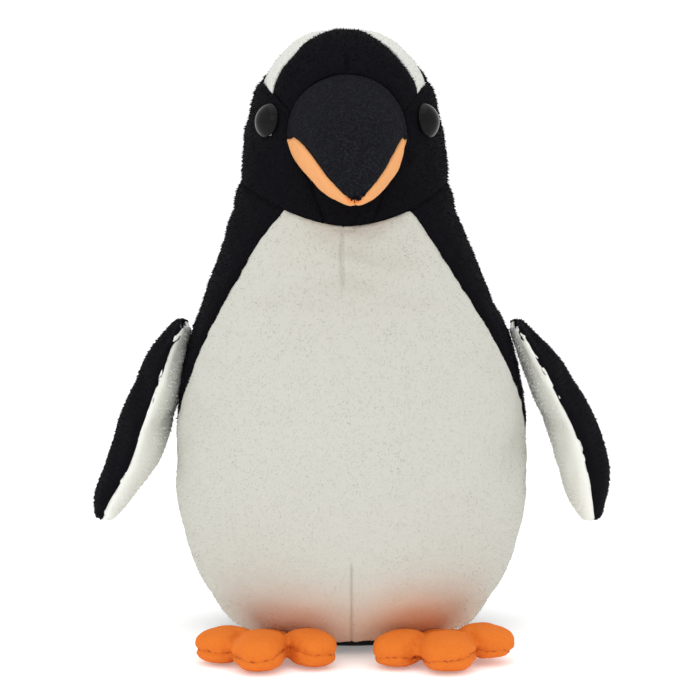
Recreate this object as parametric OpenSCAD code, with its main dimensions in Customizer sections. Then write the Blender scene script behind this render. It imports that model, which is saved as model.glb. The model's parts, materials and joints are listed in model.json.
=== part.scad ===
// Plush penguin: sewn panels over loose filling, with a weighted base.
// Millimetres, +Z up, beak towards -Y. The origin is the middle of the base.

/* [Body] */
// Overall height, standing
height = 250; // [230:1:270]
// Width across the belly
belly_w = 145.6; // [130:0.2:160]
// Depth from the belly to the back
body_d = 118; // [106:1:130]
// Width of the head at the cheeks
head_w = 82; // [74:1:90]
// Height of the neck seam at the throat
throat_z = 171.5; // [165:0.5:176]
// Rise of the neck seam from the throat to the nape
neck_rise = 16; // [10:1:20]

/* [Cloth] */
// Thickness of the plush on the body, head and flippers
plush = 1.8; // [1.2:0.1:2.4]
// Thickness of the fleece on the beak and feet
fleece = 1.4; // [1:0.1:1.8]
// Gap between two panels at a seam
seam = 0.4; // [0.3:0.1:0.6]

/* [Beak] */
// Width of the beak where it meets the face
beak_w = 48; // [42:1:52]
// Height of the beak where it meets the face
beak_h = 46; // [36:1:48]
// Height of the middle of the beak's base
beak_z = 208; // [205:1:210]
// How far the tip reaches in front of the body axis
beak_reach = 80; // [72:1:90]
// How far the tip drops below the middle of the base
beak_drop = 26; // [18:1:28]

/* [Eyes] */
// Diameter of the eye dome
eye_d = 14; // [12:1:16]
// Height of the eye dome
eye_h = 4; // [3:0.5:5]
// Distance from the middle of the face to the middle of an eye
eye_x = 33; // [30:0.5:35]
// Height of the eyes
eye_z = 212.5; // [208:0.5:216]
// Diameter of the eye's stem, which the washer grips
stem_d = 4; // [3:0.5:5]

/* [Flippers] */
// Distance from the body axis to the shoulder seam
shoulder_x = 65.8; // [63:0.5:68]
// Height of the shoulder seam
shoulder_z = 132; // [128:1:136]
// Distance from the body axis to a flipper's tip
flipper_x = 101; // [95:1:106]
// Height of a flipper's tip
flipper_z = 44; // [38:1:52]
// Width of a flipper from front to back
flipper_w = 45; // [36:1:50]
// Thickness of a stuffed flipper
flipper_t = 20; // [14:1:21]

/* [Feet] */
// Distance from the middle of the body to the middle of a foot
foot_x = 34.5; // [32:0.5:36]
// Distance from the body axis to the middle of a foot
foot_y = 54.5; // [53:0.5:57]
// Height of a stuffed foot
foot_h = 15; // [12:0.5:16]
// Size of a foot in plan, against its usual size
foot_size = 1; // [0.9:0.01:1.02]

/* [Tail] */
// Length of the tail from its seam
tail_len = 34; // [26:1:40]
// Width of the tail at its seam
tail_w = 36; // [28:1:42]
// Thickness of the stuffed tail
tail_t = 10; // [8:1:12]

/* [Hidden] */
$fn = 64;

black = "#141417";
cream = "#e4e4da";
orange = "#ef8a35";
stuffing = "#f4f4f0";

// The skin of the body below the crown: height, half width, reach of the front and of
// the back, as parts of the height, the belly's width and the body's depth
sections = [
    [0.000, 0.326, 0.356, 0.356],
    [0.024, 0.361, 0.403, 0.398],
    [0.068, 0.405, 0.453, 0.449],
    [0.136, 0.460, 0.496, 0.483],
    [0.220, 0.496, 0.508, 0.496],
    [0.320, 0.500, 0.504, 0.492],
    [0.420, 0.484, 0.475, 0.475],
    [0.510, 0.440, 0.436, 0.449],
    [0.580, 0.388, 0.398, 0.419],
    [0.660, 0.340, 0.360, 0.386],
    [0.730, 0.304, 0.337, 0.360],
    [0.784, 0.282, 0.326, 0.347]
];
// Height at which the lofted neck becomes the round crown
crown_z = height * sections[len(sections) - 1][0];
crown_h = height - crown_z;
dome = 2.2;
function dome_width(z) = z > crown_z ? pow(1 - pow((z - crown_z) / crown_h, dome), 1 / dome) : 1;
// Angle from the front to the belly's edge, against height
belly_edge = [
    [0, 94], [60, 97], [90, 87], [105, 78], [125, 71], [145, 62.5], [161, 52.5], [177, 38]
];
// Half the angle that a seam's gap takes at the body
gap = seam / belly_w * 57.3;
// Angle from the middle of the head to the seams of its gusset
gusset = 46;
// Free space around each filling
slack = 0.9;

// ---- Curves and surfaces ----

function mix(a, b, t) = a + (b - a) * t;
function clamp(t) = min(1, max(0, t));
function ease(t) = let (c = clamp(t)) c * c * (3 - 2 * c);

// Column c of a table, read at x on a smooth curve through its rows
function row(table, x, i = 0) =
    i < len(table) - 2 && x > table[i + 1][0] ? row(table, x, i + 1) : i;
function slope(table, i, c) =
    let (a = max(i - 1, 0), b = min(i + 1, len(table) - 1))
    (table[b][c] - table[a][c]) / (table[b][0] - table[a][0]);
function read(table, x, c) =
    let (i = row(table, x), span = table[i + 1][0] - table[i][0])
    let (t = (x - table[i][0]) / span, s = 1 - t)
    s * s * (1 + 2 * t) * table[i][c] + t * t * (3 - 2 * t) * table[i + 1][c]
        + t * s * span * (s * slope(table, i, c) - t * slope(table, i + 1, c));

// Half width and reach of the skin at a height, to the front when y is negative
function half_width(z) = (z < crown_z ? read(sections, z / height, 1) * belly_w : head_w / 2);
function reach(z, y) = read(sections, min(z, crown_z) / height, y < 0 ? 2 : 3) * body_d;

// The point of the skin, at depth d inside it, that lies beyond a point p
function skin(p, d) =
    let (w = half_width(p.z) - d, r = reach(p.z, p.y) - d)
    let (up = max(0, p.z - crown_z) / (crown_h - d), flat = norm([p.x / w, p.y / r]))
    let (s = up > 0 ? pow(pow(flat, dome) + pow(up, dome), 1 / dome) : flat)
    [p.x / s, p.y / s, p.z < crown_z ? p.z : crown_z + (p.z - crown_z) / s];

// A point of the skin by its angle from the front and its height
function body_point(angle, z, d) = skin([sin(angle) * 40, -cos(angle) * 40, z], d);

// A point of the crown by its angle from the middle and its angle up over the head
function crown_point(side, over, d) =
    skin([sin(side) * head_w / 2, -cos(side) * cos(over) * head_w / 2,
        crown_z + cos(side) * sin(over) * crown_h], d);

// Height of the seam between the body and the head, by the angle from the front
function neck(angle) = throat_z + neck_rise * pow(sin(min(abs(angle), 90)), 2);

// ---- Solids from surfaces ----

function tri(a, b, c, d) = [[a, b, c], [a, c, d]];

// A sheet of cloth over the patch f(u, v, depth), between two depths
module sheet(f, nu, nv, thick, top = 0) {
    n = (nu + 1) * (nv + 1);
    function at(k, i, j) = k * n + i * (nv + 1) + j;
    points = [
        for (d = [top, top + thick]) for (i = [0:nu]) for (j = [0:nv]) f(i / nu, j / nv, d)
    ];
    skins = [
        for (i = [0:nu - 1]) for (j = [0:nv - 1]) each concat(
            tri(at(0, i, j), at(0, i, j + 1), at(0, i + 1, j + 1), at(0, i + 1, j)),
            tri(at(1, i, j), at(1, i + 1, j), at(1, i + 1, j + 1), at(1, i, j + 1)))
    ];
    ends = [
        for (i = [0:nu - 1]) each concat(
            tri(at(0, i, 0), at(0, i + 1, 0), at(1, i + 1, 0), at(1, i, 0)),
            tri(at(0, i + 1, nv), at(0, i, nv), at(1, i, nv), at(1, i + 1, nv)))
    ];
    sides = [
        for (j = [0:nv - 1]) each concat(
            tri(at(0, 0, j + 1), at(0, 0, j), at(1, 0, j), at(1, 0, j + 1)),
            tri(at(0, nu, j), at(0, nu, j + 1), at(1, nu, j + 1), at(1, nu, j)))
    ];
    polyhedron(points, concat(skins, ends, sides));
}

// A closed solid through rings of points, each ring closed and flat
module loft(rings) {
    n = len(rings[0]);
    last = len(rings) - 1;
    function at(i, j) = i * n + (j % n);
    walls = [
        for (i = [0:last - 1]) for (j = [0:n - 1]) each
            tri(at(i, j), at(i + 1, j), at(i + 1, j + 1), at(i, j + 1))
    ];
    first_cap = [for (j = [0:n - 1]) at(0, j)];
    last_cap = [for (j = [n - 1:-1:0]) at(last, j)];
    polyhedron([for (r = rings) each r], concat(walls, [first_cap], [last_cap]));
}

module left_or_right(side) mirror([side < 0 ? 1 : 0, 0, 0]) children();

// ---- Body ----

module belly_panel() {
    function patch(u, v, d) =
        let (edge = read(belly_edge, v * neck(belly_edge[7][1]), 1) - gap)
        let (angle = mix(-edge, edge, u))
        body_point(angle, v * (neck(angle * belly_edge[7][1] / edge) - seam / 2), d);
    color(cream) sheet(function(u, v, d) patch(u, v, d), 18, 18, plush);
}

module back_panel(side) {
    function patch(u, v, d) =
        let (edge = read(belly_edge, v * neck(belly_edge[7][1]), 1) + gap)
        let (top_angle = mix(belly_edge[7][1], 180, u))
        body_point(mix(edge, 180 - gap, u), v * (neck(top_angle) - seam / 2), d);
    color(black) left_or_right(side) sheet(function(u, v, d) patch(u, v, d), 11, 16, plush);
}

// The oval that closes the body under the pellets, inside the ends of the panels
module base_panel() {
    outline = [for (i = [0:47]) let (p = body_point(i * 7.5, 0, plush + seam)) [p.x, p.y]];
    color(black) linear_extrude(plush) polygon(outline);
}

// ---- Head ----

// The panels of the face end on a ring round the beak. Angles on it are from its top:
// the forehead ends at brow, and the throat begins at jaw.
brow = 70;
jaw = 139;
throat_half = 13;
edge_gap = 0.7;
function beak_ring(angle) =
    let (x = sin(angle) * (beak_w / 2 + seam), z = beak_z + cos(angle) * (beak_h / 2 + seam))
    [x, -face_y(x, z), z];
// The head's neck edge, from the middle of the throat round to the back
function neck_edge(angle) = body_point(angle, neck(angle) + seam / 2, 0);

module throat_panel() {
    function low(u) = neck_edge(mix(-1, 1, u) * (throat_half - gap));
    function high(u) = beak_ring(180 - mix(-1, 1, u) * (180 - jaw - edge_gap));
    function patch(u, v, d) = skin(mix(low(u), high(u), v), d);
    color(black) sheet(function(u, v, d) patch(u, v, d), 8, 3, plush);
}

// Angle over the head at which the gusset reaches the neck seam behind
function nape_end(side) =
    180 + asin((crown_z - neck(180) - seam / 2) / (crown_h * cos(side)));

module cheek(side) {
    back = crown_point(gusset + gap, nape_end(gusset + gap), 0);
    back_angle = atan2(back.x, -back.y);
    side_edge = gusset + gap;
    function low(u) = neck_edge(mix(throat_half + gap, back_angle, u));
    function high(u) =
        u < 0.2 ? mix(beak_ring(brow + edge_gap), crown_point(side_edge, band_front(gusset), 0), u / 0.2)
        : crown_point(side_edge, mix(band_front(gusset), nape_end(gusset) - 7, (u - 0.2) / 0.8), 0);
    function front(v) =
        v < 0.32 ? mix(low(0), beak_ring(jaw - edge_gap), v / 0.32)
        : beak_ring(mix(jaw - edge_gap, brow + edge_gap, (v - 0.32) / 0.68));
    function patch(u, v, d) =
        skin(mix(low(u), high(u), v) + pow(1 - u, 2) * (front(v) - mix(low(0), high(0), v)), d);
    color(black) left_or_right(side) difference() {
        sheet(function(u, v, d) patch(u, v, d), 14, 7, plush);
        on_face(1) cylinder(d = stem_d + seam, h = 16, center = true);
    }
}

// Front edge and back edge of the pale band over the crown
function band_front(side) = mix(86, 47, pow(abs(side) / gusset, 1.6));
function band_back(side) = mix(122, 62, pow(abs(side) / gusset, 2.6));

module forehead_gusset() {
    function patch(u, v, d) =
        let (side = mix(-gusset, gusset, u) * (1 - gap / gusset))
        let (low = beak_ring(mix(-1, 1, u) * (brow - edge_gap)))
        skin(mix(low, crown_point(side, band_front(side) - gap, 0), v), d);
    color(black) sheet(function(u, v, d) patch(u, v, d), 12, 6, plush);
}

module crown_band() {
    function patch(u, v, d) =
        let (side = mix(-gusset, gusset, u) * (1 - gap / gusset))
        crown_point(side, mix(band_front(side) + gap, band_back(side) - gap, v), d);
    color(cream) sheet(function(u, v, d) patch(u, v, d), 12, 4, plush);
}

module nape_gusset() {
    function patch(u, v, d) =
        let (side = mix(-gusset, gusset, u) * (1 - gap / gusset))
        crown_point(side, mix(band_back(side) + gap, nape_end(side), v), d);
    color(black) sheet(function(u, v, d) patch(u, v, d), 12, 8, plush);
}

// ---- Eyes ----

eye_place = let (s = dome_width(eye_z))
    let (y = reach(crown_z, -1) * sqrt(s * s - pow(2 * eye_x / head_w, 2)))
    [eye_x, -y, eye_z];
eye_out = let (r = reach(crown_z, -1))
    let (round = pow(dome_width(eye_z), dome - 2), up = (eye_z - crown_z) / crown_h)
    let (g = [round * 4 * eye_x / head_w / head_w, round * eye_place.y / r / r, pow(up, dome - 1) / crown_h])
    g / norm(g);
washer_depth = plush + 0.9;
washer_t = 1.2;
stem_len = 9;
washer_d = eye_d;

// Puts its children on the head with their Z pointing out of the eye
module on_face(side) left_or_right(side) translate(eye_place)
    rotate([0, acos(eye_out.z), atan2(eye_out.y, eye_out.x)]) children();

module eye(side) {
    dome_r = (eye_d * eye_d / 4 + eye_h * eye_h) / (2 * eye_h);
    color(black) on_face(side) union() {
        intersection() {
            translate([0, 0, eye_h - dome_r + 0.1]) sphere(dome_r);
            translate([0, 0, 0.1]) cylinder(d = eye_d + 1, h = eye_h + 1);
        }
        translate([0, 0, -stem_len]) cylinder(d = stem_d, h = stem_len + 1);
    }
}

module eye_washer(side) {
    color(stuffing) on_face(side) translate([0, 0, -washer_depth - washer_t]) difference() {
        cylinder(d = washer_d, h = washer_t);
        translate([0, 0, -1]) cylinder(d = stem_d, h = washer_t + 2);
    }
}

// ---- Beak ----

beak_base_y = reach(crown_z, -1);
// Size of the beak's section, and the height of its middle, at t from its base to its tip
function beak_size(t) = pow(1 - pow(clamp(t), 1.5), 0.8);
function beak_middle(t) = beak_z - beak_drop * pow(t, 1.25);
// A point of the beak by its angle from the top, t along it and the depth d
function beak_at(angle, t, y, d) =
    let (s = beak_size(t), w = max(0.2, s * beak_w / 2 - d), h = max(0.2, s * beak_h / 2 - d))
    [sin(angle) * w, y, beak_middle(t) + cos(angle) * h];
// How far the skin reaches forward at a place on the face
function face_y(x, z) =
    let (s = dome_width(z))
    reach(z, -1) * sqrt(s * s - pow(x / half_width(z), 2));
function beak_point(angle, v, d) =
    let (face = face_y(sin(angle) * beak_w / 2, beak_z + cos(angle) * beak_h / 2) + seam)
    beak_at(angle, v, -mix(face, beak_reach, v), d);
// Angle from the top of the beak to the seam of its black cloth
function beak_seam(v) = 79 + (v < 0.5 ? 18 * pow(1 - 2 * v, 2) : 16 * pow(2 * v - 1, 1.5));

module beak_top() {
    function patch(u, v, d) =
        beak_point(mix(1, -1, u) * (beak_seam(v) - 1), v * 0.97, d);
    color(black) sheet(function(u, v, d) patch(u, v, d), 12, 7, fleece);
}

module beak_side(side) {
    function patch(u, v, d) = beak_point(mix(179, beak_seam(v) + 1, u), v * 0.97, d);
    color(orange) left_or_right(side) sheet(function(u, v, d) patch(u, v, d), 6, 7, fleece);
}

module beak_filling() {
    start = face_y(beak_w / 2, beak_z);
    function section(y) = [
        for (j = [23:-1:0])
            beak_at(j * 15, (y - start) / (beak_reach - start), -y, fleece + 2 * slack)
    ];
    color(stuffing) loft([for (i = [0:6]) section(mix(beak_base_y + 1, beak_reach - 6, i / 6))]);
}

// ---- Filling of the body and head ----

function ring(z, d, n) = [for (j = [0:n - 1]) body_point(j * 360 / n, z, d)];

bag_z = 30;

module body_filling() {
    low = bag_z + slack;
    high = throat_z - slack;
    rings = [for (i = [0:12]) ring(mix(low, high, i / 12), plush + slack, 30)];
    color(stuffing) loft(rings);
}

module head_filling() {
    d = plush + slack;
    low = throat_z + slack;
    neck_rings = [for (i = [0:3]) ring(mix(low, crown_z - 1, i / 3), d, 30)];
    function dome(e) = [
        for (j = [0:29]) let (a = j * 12, y = reach(crown_z, -cos(a)) - d)
            let (across = pow(cos(e), 2 / dome), up = pow(sin(e), 2 / dome))
            [(head_w / 2 - d) * across * sin(a), -y * across * cos(a), crown_z + (crown_h - d) * up]
    ];
    rings = concat(neck_rings, [for (e = [4, 18, 34, 50, 66, 80]) dome(e)]);
    color(stuffing) difference() {
        loft(rings);
        for (side = [-1, 1]) on_face(side) {
            translate([0, 0, -stem_len - 1]) cylinder(d = stem_d + 1, h = stem_len);
            translate([0, 0, -washer_depth - washer_t - slack]) cylinder(d = washer_d + 1, h = 8);
        }
    }
}

// ---- Weighted bag in the base ----

function bag_ring(z, d) = ring(z, plush + slack + d, 30);

module pellet_bag() {
    low = plush + slack;
    wall = 0.8;
    color("#c9c9c4") difference() {
        loft([for (i = [0:3]) bag_ring(mix(low, bag_z, i / 3), slack)]);
        loft([for (i = [0:3]) bag_ring(mix(low + wall, bag_z - wall, i / 3), slack + wall)]);
    }
}

module pellets() {
    low = plush + slack + 1;
    color("#e9e9ea") loft([for (i = [0:3]) bag_ring(mix(low, bag_z - 1, i / 3), slack + 1)]);
}

// ---- Flippers ----

elbow = [shoulder_x + 20, shoulder_z - 26];
function flipper_mid(s) =
    let (a = [shoulder_x, shoulder_z], b = elbow, c = [flipper_x, flipper_z])
    mix(mix(a, b, s), mix(b, c, s), s);
function flipper_out(s) =
    let (t = mix(elbow - [shoulder_x, shoulder_z], [flipper_x, flipper_z] - elbow, s))
    [-t[1], t[0]] / norm(t);
// Half width and half thickness along the flipper
function flipper_round(s) = sqrt(max(0, 1 - pow(clamp((s - 0.7) / 0.3), 2.4)));
function flipper_half(s) = flipper_w / 2 * flipper_round(s) * mix(0.62, 1, ease(s / 0.45));
function flipper_fat(s) = flipper_t / 2 * flipper_round(s) * mix(0.3, 1, ease(s / 0.62));
// A point of a flipper: s along it, c across it from -1 to 1, on its outer or inner face
function flipper_point(s, c, face, d) =
    let (m = flipper_mid(s), n = flipper_out(s))
    let (across = c * max(0.3, flipper_half(s) - d))
    let (bulge = face * (seam / 2 + max(0.1, flipper_fat(s) - d) * pow(1 - c * c, 0.6)))
    [m[0] + n[0] * bulge, 2 + across, m[1] + n[1] * bulge];

module flipper_face(side, face) {
    function patch(u, v, d) =
        flipper_point(mix(0.02, 0.985, 1 - v), mix(-1, 1, face > 0 ? u : 1 - u), face, d);
    left_or_right(side) sheet(function(u, v, d) patch(u, v, d), 8, 11, plush);
}

module flipper_filling(side) {
    function section(s) = [
        for (j = [0:15]) let (a = j * 22.5)
            flipper_point(s, cos(a), sin(a) < -0.001 ? -1 : 1, plush + 2 * slack)
    ];
    color(stuffing) left_or_right(side) loft([for (i = [0:9]) section(mix(0.06, 0.94, i / 9))]);
}

// ---- Feet ----

sole_z = 6.5;
// The ankle and the three toes, inner toe first: place from the foot's middle, and radius
toes = [[1, 3, 10.5], [-18, -5, 10], [2, -8, 12], [16, 3, 11]];
// How far a circle reaches from the foot's middle in a direction
function circle_edge(t, way) =
    let (off = miss(t, way))
    off > t[2] ? 0 : t[0] * way[0] + t[1] * way[1] + sqrt(t[2] * t[2] - off * off);
function miss(t, way) = abs(t[0] * way[1] - t[1] * way[0]);
function foot_edge(way) = max([for (t = toes) circle_edge(t, way)]) * foot_size;
// The foot thins towards the ankle, to leave room under the belly
function foot_rise(y, h) = h * mix(0.4, 1, ease((-y - 43) / 13));
// A point of a foot: rho outwards from its middle, and the part of the height h above base
function foot_point(angle, rho, base, h, d) =
    let (way = [sin(angle), -cos(angle)], r = rho * (foot_edge(way) - d), y = r * way[1] - foot_y)
    [foot_x + r * way[0], y, base + (h > 0 ? foot_rise(y, h) : h)];
function foot_ring(rho, base, h, d) = [for (j = [0:35]) foot_point(j * 10, rho, base, h, d)];
// The round top of the foot, and its flat underside
function top_ring(rho, base, h, d) = foot_ring(rho, base, h * sqrt(1 - pow(rho, 2.6)), d);
function low_ring(rho, base, h, d) = foot_ring(rho, base, -h * sqrt(1 - pow(rho, 8)), d);

module foot_upper(side) {
    base = sole_z + seam / 2;
    h = foot_h - base;
    inside = [for (rho = [0.2, 0.6, 0.85, 1]) top_ring(rho, base, h - fleece, fleece)];
    outside = [for (rho = [1, 0.92, 0.75, 0.5, 0.2]) top_ring(rho, base, h, 0)];
    color(orange) left_or_right(side) loft(concat(inside, outside));
}

module foot_sole(side) {
    base = sole_z - seam / 2;
    outside = [for (rho = [0.3, 0.8, 0.94, 1]) low_ring(rho, base, base, 0)];
    inside = [for (rho = [1, 0.9, 0.7, 0.3]) low_ring(rho, base, base - fleece, fleece)];
    color(orange) left_or_right(side) loft(concat(outside, inside));
}

module foot_filling(side) {
    d = fleece + slack;
    low = [for (rho = [0.3, 0.8, 0.97]) low_ring(rho, sole_z, sole_z - d, d)];
    high = [for (rho = [0.97, 0.75, 0.3]) top_ring(rho, sole_z, foot_h - d - sole_z, d)];
    color(stuffing) left_or_right(side) loft(concat(low, high));
}

// ---- Tail ----

tail_y = 55.6;
tail_z = 18;
tail_tip_z = 7;
function tail_half(s) = tail_w / 2 * pow(1 - pow(s, 1.7), 0.6);
function tail_fat(s) = tail_t / 2 * pow(1 - pow(s, 2), 0.5) * mix(0.4, 1, ease(s / 0.35));
function tail_point(s, c, face, d) =
    let (across = c * max(0.3, tail_half(s) - d))
    let (bulge = face * (seam / 2 + max(0.1, tail_fat(s) - d) * pow(1 - c * c, 0.6)))
    [across, tail_y + s * tail_len, mix(tail_z, tail_tip_z, s) + bulge];

module tail_face(face) {
    function patch(u, v, d) =
        tail_point(mix(0, 0.97, v), mix(-1, 1, face > 0 ? u : 1 - u), face, d);
    color(black) sheet(function(u, v, d) patch(u, v, d), 6, 6, plush);
}

module tail_filling() {
    function section(s) = [
        for (j = [0:11]) let (a = j * 30)
            tail_point(s, -cos(a), sin(a) < -0.001 ? -1 : 1, plush + slack)
    ];
    color(stuffing) loft([for (i = [0:4]) section(mix(0.05, 0.8, i / 4))]);
}

belly_panel();
back_panel(1);  // back_panel_left
back_panel(-1);  // back_panel_right
base_panel();
throat_panel();
cheek(1);  // cheek_left
cheek(-1);  // cheek_right
forehead_gusset();
crown_band();
nape_gusset();
beak_top();
beak_side(1);  // beak_side_left
beak_side(-1);  // beak_side_right
body_filling();
head_filling();
beak_filling();
pellet_bag();
pellets();
eye(1);  // eye_left
eye(-1);  // eye_right
eye_washer(1);  // eye_washer_left
eye_washer(-1);  // eye_washer_right
color(black) flipper_face(1, 1);  // flipper_outer_left
color(cream) flipper_face(1, -1);  // flipper_inner_left
flipper_filling(1);  // flipper_filling_left
color(black) flipper_face(-1, 1);  // flipper_outer_right
color(cream) flipper_face(-1, -1);  // flipper_inner_right
flipper_filling(-1);  // flipper_filling_right
foot_upper(1);  // foot_upper_left
foot_sole(1);  // foot_sole_left
foot_filling(1);  // foot_filling_left
foot_upper(-1);  // foot_upper_right
foot_sole(-1);  // foot_sole_right
foot_filling(-1);  // foot_filling_right
tail_face(1);  // tail_upper
tail_face(-1);  // tail_under
tail_filling();
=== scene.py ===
import json
import math
import random

import bmesh
import bpy
from mathutils import Matrix, Vector, noise
from mathutils.bvhtree import BVHTree
from mathutils.kdtree import KDTree

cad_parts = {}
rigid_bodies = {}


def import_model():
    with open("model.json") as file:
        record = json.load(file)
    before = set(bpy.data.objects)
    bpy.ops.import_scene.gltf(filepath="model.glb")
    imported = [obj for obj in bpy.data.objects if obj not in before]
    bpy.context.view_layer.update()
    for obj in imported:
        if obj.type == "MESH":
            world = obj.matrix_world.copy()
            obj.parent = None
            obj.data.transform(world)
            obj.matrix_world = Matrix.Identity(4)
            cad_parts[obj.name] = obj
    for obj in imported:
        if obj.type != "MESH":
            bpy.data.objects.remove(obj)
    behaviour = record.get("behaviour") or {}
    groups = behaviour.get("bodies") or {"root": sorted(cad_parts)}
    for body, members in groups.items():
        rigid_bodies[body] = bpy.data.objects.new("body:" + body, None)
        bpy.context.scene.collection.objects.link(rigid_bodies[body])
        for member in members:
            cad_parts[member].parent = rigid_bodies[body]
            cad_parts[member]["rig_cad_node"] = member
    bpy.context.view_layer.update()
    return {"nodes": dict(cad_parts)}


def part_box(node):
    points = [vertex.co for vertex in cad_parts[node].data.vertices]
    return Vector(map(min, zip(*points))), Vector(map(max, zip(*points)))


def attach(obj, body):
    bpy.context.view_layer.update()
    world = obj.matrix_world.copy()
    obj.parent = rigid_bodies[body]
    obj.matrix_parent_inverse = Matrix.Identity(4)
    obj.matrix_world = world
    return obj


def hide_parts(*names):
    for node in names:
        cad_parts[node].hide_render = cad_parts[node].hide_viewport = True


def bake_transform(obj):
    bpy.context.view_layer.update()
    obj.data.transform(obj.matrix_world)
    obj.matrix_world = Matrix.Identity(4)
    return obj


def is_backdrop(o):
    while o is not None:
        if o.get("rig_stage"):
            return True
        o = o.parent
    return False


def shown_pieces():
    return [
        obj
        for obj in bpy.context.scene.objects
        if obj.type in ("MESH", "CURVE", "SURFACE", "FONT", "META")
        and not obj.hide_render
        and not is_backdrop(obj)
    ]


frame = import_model()

# ---- Camera ----
# A long lens a metre in front of the toy, looking down a little at its belly from six degrees above level,
# so that the upright body is hardly foreshortened.
aim = Vector((-0.0006, 0, 0.118))
tilt = math.radians(6)
camera = bpy.data.objects.new("camera", bpy.data.cameras.new("camera"))
camera.data.sensor_width = 36
camera.data.lens = 124.7
camera.location = aim + Vector((0, -math.cos(tilt), math.sin(tilt)))
camera.rotation_euler = (math.pi / 2 - tilt, 0, 0)
bpy.context.scene.collection.objects.link(camera)
bpy.context.scene.camera = camera

# ---- Floor and light ----
# A white studio: one matt floor sheet, an even white surround, and a large soft light above and in front.
# The picture is shown without a film curve, so that the white and the black cloth keep their own values.


class Wire:
    """One value in a finish: Python's operators on it add the Math nodes."""

    def __init__(self, finish, socket):
        self.finish = finish
        self.socket = socket

    def math(self, operation, *values):
        inputs = dict(enumerate(values))
        return self.finish.add("Math", {"operation": operation}, inputs)

    def __add__(self, other):
        return self.math("ADD", self, other)

    __radd__ = __add__

    def __sub__(self, other):
        return self.math("SUBTRACT", self, other)

    def __rsub__(self, other):
        return self.math("SUBTRACT", other, self)

    def __mul__(self, other):
        return self.math("MULTIPLY", self, other)

    __rmul__ = __mul__

    def __truediv__(self, other):
        return self.math("DIVIDE", self, other)

    def __neg__(self):
        return self.math("MULTIPLY", self, -1)

    def exp(self):
        return self.math("EXPONENT", self)

    def sine(self):
        return self.math("SINE", self)

    def above(self, low, high):
        settings = {"interpolation_type": "SMOOTHSTEP"}
        return self.finish.add("MapRange", settings, {"Value": self, "From Min": low, "From Max": high})


class Finish:
    """A material for one kind of cloth or plastic, with its surface shader."""

    def __init__(self, name, roughness, **sockets):
        self.material = bpy.data.materials.new(name)
        self.material.use_nodes = True
        self.tree = self.material.node_tree
        self.surface = self.tree.nodes["Principled BSDF"]
        self.set("Roughness", roughness)
        for socket, value in sockets.items():
            self.set(socket.replace("_", " "), value)

    def put(self, socket, value):
        if isinstance(value, Wire):
            self.tree.links.new(value.socket, socket)
        elif isinstance(value, tuple) and len(value) == 3 and socket.type == "RGBA":
            socket.default_value = (*value, 1)
        else:
            socket.default_value = value

    def set(self, socket, value):
        self.put(self.surface.inputs[socket], value)

    def add(self, kind, settings, inputs, out=0):
        node = self.tree.nodes.new("ShaderNode" + kind)
        for name, value in settings.items():
            setattr(node, name, value)
        for key, value in inputs.items():
            self.put(node.inputs[key], value)
        return Wire(self, node.outputs[out])

    def place(self):
        return self.add("TexCoord", {}, {}, "Object")

    def axes(self):
        split = self.add("SeparateXYZ", {}, {0: self.place()})
        return [Wire(self, output) for output in split.socket.node.outputs]

    def grain(self, size, detail=2.0, roughness=0.5):
        """Noise whose spots are about size metres across."""
        inputs = {"Vector": self.place(), "Scale": 1 / size, "Detail": detail, "Roughness": roughness}
        return self.add("TexNoise", {}, inputs)

    def blend(self, share, first, second):
        """Goes from the first colour to the second."""
        inputs = {"Factor": share, 6: first, 7: second}
        return self.add("Mix", {"data_type": "RGBA"}, inputs, 2)

    def relief(self, height, depth, strength=1.0):
        inputs = {"Height": height, "Distance": depth, "Strength": strength}
        self.set("Normal", self.add("Bump", {}, inputs))


def add_piece(name, form, finish):
    """Puts a finished form into the scene as a piece."""
    mesh = bpy.data.meshes.new(name)
    form.to_mesh(mesh)
    form.free()
    mesh.materials.append(finish.material)
    piece = bpy.data.objects.new(name, mesh)
    bpy.context.scene.collection.objects.link(piece)
    return piece


paper = Finish("paper_floor", 0.9, Specular_IOR_Level=0.0)
paper.set("Base Color", paper.blend(paper.grain(0.02) * 0.5, (0.97, 0.97, 0.97), (0.95, 0.95, 0.95)))
paper.set("Emission Color", (1.0, 1.0, 1.0))
paper.set("Emission Strength", 0.22)
form = bmesh.new()
bmesh.ops.create_grid(form, x_segments=4, y_segments=4, size=4)
bmesh.ops.translate(form, verts=form.verts, vec=(0, 0, -0.0003))
add_piece("floor", form, paper)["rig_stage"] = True

surround = bpy.data.worlds.new("surround")
surround.use_nodes = True
surround.node_tree.nodes["Background"].inputs["Color"].default_value = (1, 1, 1, 1)
surround.node_tree.nodes["Background"].inputs["Strength"].default_value = 1.08
bpy.context.scene.world = surround
bpy.context.scene.view_settings.view_transform = "Standard"

for name, place, size, power in (
    ("top_light", (0, -0.15, 1.3), 1.2, 4.0),
    ("front_light", (-0.5, -1.3, 0.9), 0.8, 2.0),
):
    lamp = bpy.data.lights.new(name, "AREA")
    lamp.size = size
    lamp.energy = power
    light = bpy.data.objects.new(name, lamp)
    light.location = place
    light.rotation_euler = (Vector((0, 0, 0.12)) - Vector(place)).to_track_quat("-Z", "Y").to_euler()
    bpy.context.scene.collection.objects.link(light)

# ---- Stuffing of the body and head ----
# Hollow-fibre stuffing, packed into the sewn skin until it is round and firm, one mass from the weighted bag
# in the base to the top of the head. The whole sewn skin is inflated over it, and the plush panels lie on it.
fibre = Finish("hollow_fibre", 0.95, Specular_IOR_Level=0.1)
fluff = fibre.grain(0.003, 4)
fibre.set("Base Color", fibre.blend(fluff, (0.80, 0.80, 0.78), (0.66, 0.66, 0.64)))
fibre.relief(fluff, 0.0015)


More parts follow.
